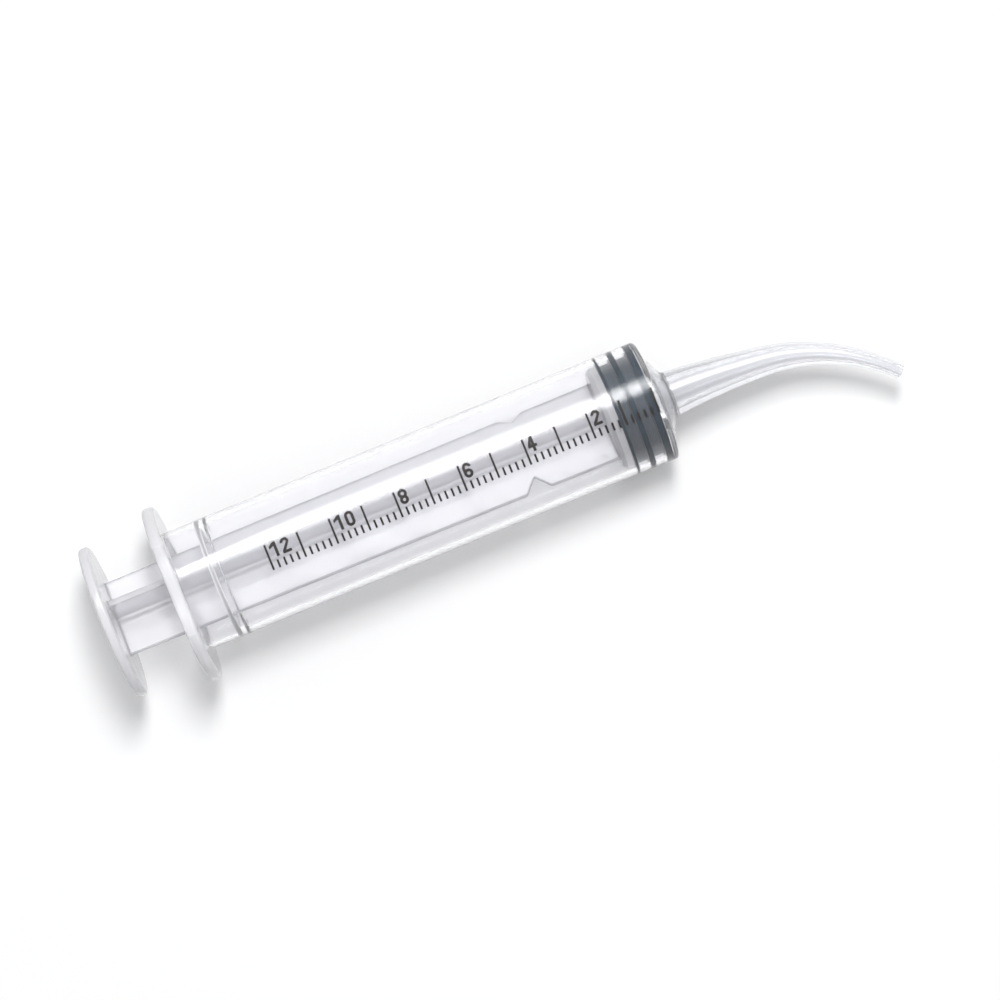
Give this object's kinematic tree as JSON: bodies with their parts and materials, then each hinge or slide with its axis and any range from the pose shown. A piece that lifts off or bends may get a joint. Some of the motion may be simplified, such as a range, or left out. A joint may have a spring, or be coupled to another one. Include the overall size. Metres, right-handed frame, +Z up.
{
  "type": "curved tip syringe",
  "caption": "Clear plastic syringe with a long tapered tip that bends to one side, a sliding plunger of crossed ribs with a rubber stopper, and a printed volume scale.",
  "frame": {"origin": "point on the barrel's axis at the front face of the finger flange", "axes": "+X along the barrel towards the tip, with the axis itself 1.983 degrees nose down from +X because the syringe lies on its flange flat and its front edge; +Z up, away from the surface it lies on; the tip bends towards -Y"},
  "size_m": [0.1203, 0.0266, 0.0233],
  "materials": {
    "barrel": "clear, smooth polypropylene",
    "plunger": "translucent, smooth polypropylene",
    "stopper": "smooth rubber, lightly siliconed",
    "ink": "thin printed ink"
  },
  "bodies": {
    "barrel": {"barrel": "barrel", "volume_scale": "ink"},
    "stopper": {"stopper": "stopper"},
    "plunger": {"plunger": "plunger"}
  },
  "joints": [
    {"name": "plunger_slide", "type": "slide", "parent": "barrel", "child": "stopper", "axis": [-0.9994, 0, 0.0346], "range_m": [0, 0.0591]},
    {"name": "plunger_turn", "type": "hinge", "parent": "stopper", "child": "plunger", "pos_m": [0, 0, 0], "axis": [0.9994, 0, -0.0346], "continuous": true}
  ]
}
